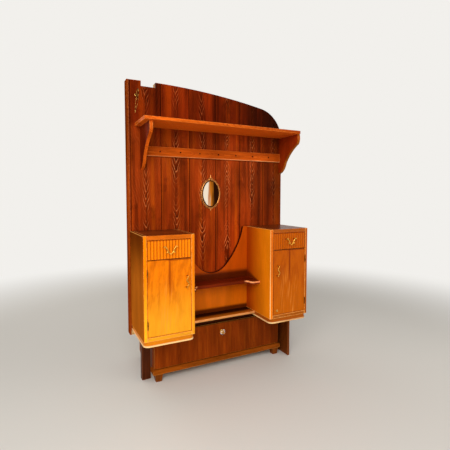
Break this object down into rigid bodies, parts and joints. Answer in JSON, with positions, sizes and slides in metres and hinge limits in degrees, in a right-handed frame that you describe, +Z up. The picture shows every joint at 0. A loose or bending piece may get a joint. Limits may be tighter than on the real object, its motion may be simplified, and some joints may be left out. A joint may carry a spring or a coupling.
{
  "type": "wagon partition with fitted dresser",
  "caption": "Board partition for a living wagon, with hat rack, oval mirror, twin-cabinet dresser with open shelves, and a drawer chest below.",
  "frame": {"origin": "on the floor, under the middle of the partition's front face, which is also the bottom centre of the whole part's box", "axes": "+X to the right along the partition towards the side wall, +Y back through the boards, +Z up"},
  "size_m": [1.3, 0.788, 2.1588],
  "materials": {
    "stained_boards": "dark red stain under worn satin varnish",
    "rack_pine": "orange stained pine, satin varnish",
    "frame_softwood": "planed softwood, unvarnished",
    "dark_leg_wood": "dark brown stain",
    "dresser_veneer": "amber veneer under glossy varnish",
    "chest_wood": "red brown veneer, satin varnish",
    "plain_inner_wood": "plain inner wood, waxed",
    "gilt_metal": "aged gilt brass",
    "mirror_glass": "silvered glass",
    "cut_glass": "cut clear glass on a brass rose"
  },
  "bodies": {
    "partition": {"bracket_left": "rack_pine", "bracket_right": "rack_pine", "chest_back": "plain_inner_wood", "chest_bottom": "chest_wood", "chest_feet": "chest_wood", "chest_moulding": "chest_wood", "chest_side_left": "chest_wood", "chest_side_right": "chest_wood", "chest_top": "chest_wood", "edge_lipping": "rack_pine", "hat_shelf": "rack_pine", "hollow_back_panel": "dresser_veneer", "left_back": "plain_inner_wood", "left_bottom": "dresser_veneer", "left_divider": "plain_inner_wood", "left_inner_shelf": "plain_inner_wood", "left_plinth": "dresser_veneer", "left_side_left": "dresser_veneer", "left_side_right": "dresser_veneer", "left_top": "dresser_veneer", "leg_left": "dark_leg_wood", "leg_right": "dark_leg_wood", "lower_shelf": "dresser_veneer", "mirror_frame": "gilt_metal", "mirror_glass": "mirror_glass", "partition_boards": "stained_boards", "peg_rail": "rack_pine", "pole_ring": "gilt_metal", "rear_rail_high": "frame_softwood", "rear_rail_low": "frame_softwood", "rear_stile_left": "frame_softwood", "rear_stile_right": "frame_softwood", "right_back": "plain_inner_wood", "right_bottom": "dresser_veneer", "right_divider": "plain_inner_wood", "right_inner_shelf": "plain_inner_wood", "right_plinth": "dresser_veneer", "right_side_left": "dresser_veneer", "right_side_right": "dresser_veneer", "right_top": "dresser_veneer", "roof_rib": "frame_softwood", "sole_rail": "frame_softwood", "upper_shelf": "dresser_veneer", "wall_cheek": "dark_leg_wood"},
    "left_door": {"left_door": "dresser_veneer", "left_door_pull": "gilt_metal", "left_hinges": "gilt_metal"},
    "right_door": {"right_door": "dresser_veneer", "right_door_pull": "gilt_metal", "right_hinges": "gilt_metal"},
    "left_drawer": {"left_drawer_box": "plain_inner_wood", "left_drawer_front": "dresser_veneer", "left_drawer_pull": "gilt_metal"},
    "right_drawer": {"right_drawer_box": "plain_inner_wood", "right_drawer_front": "dresser_veneer", "right_drawer_pull": "gilt_metal"},
    "base_drawer": {"base_drawer_box": "plain_inner_wood", "base_drawer_front": "chest_wood", "base_drawer_knob": "cut_glass"}
  },
  "joints": [
    {"name": "left_door_hinge", "type": "hinge", "parent": "partition", "child": "left_door", "pos_m": [-0.6145, -0.3702, 0.7], "axis": [0, 0, -1], "range_deg": [0, 110]},
    {"name": "right_door_hinge", "type": "hinge", "parent": "partition", "child": "right_door", "pos_m": [0.6225, -0.3702, 0.7], "axis": [0, 0, 1], "range_deg": [0, 90]},
    {"name": "left_drawer_slide", "type": "slide", "parent": "partition", "child": "left_drawer", "axis": [0, -1, 0], "range_m": [0, 0.25]},
    {"name": "right_drawer_slide", "type": "slide", "parent": "partition", "child": "right_drawer", "axis": [0, -1, 0], "range_m": [0, 0.25]},
    {"name": "base_drawer_slide", "type": "slide", "parent": "partition", "child": "base_drawer", "axis": [0, -1, 0], "range_m": [0, 0.32]}
  ]
}
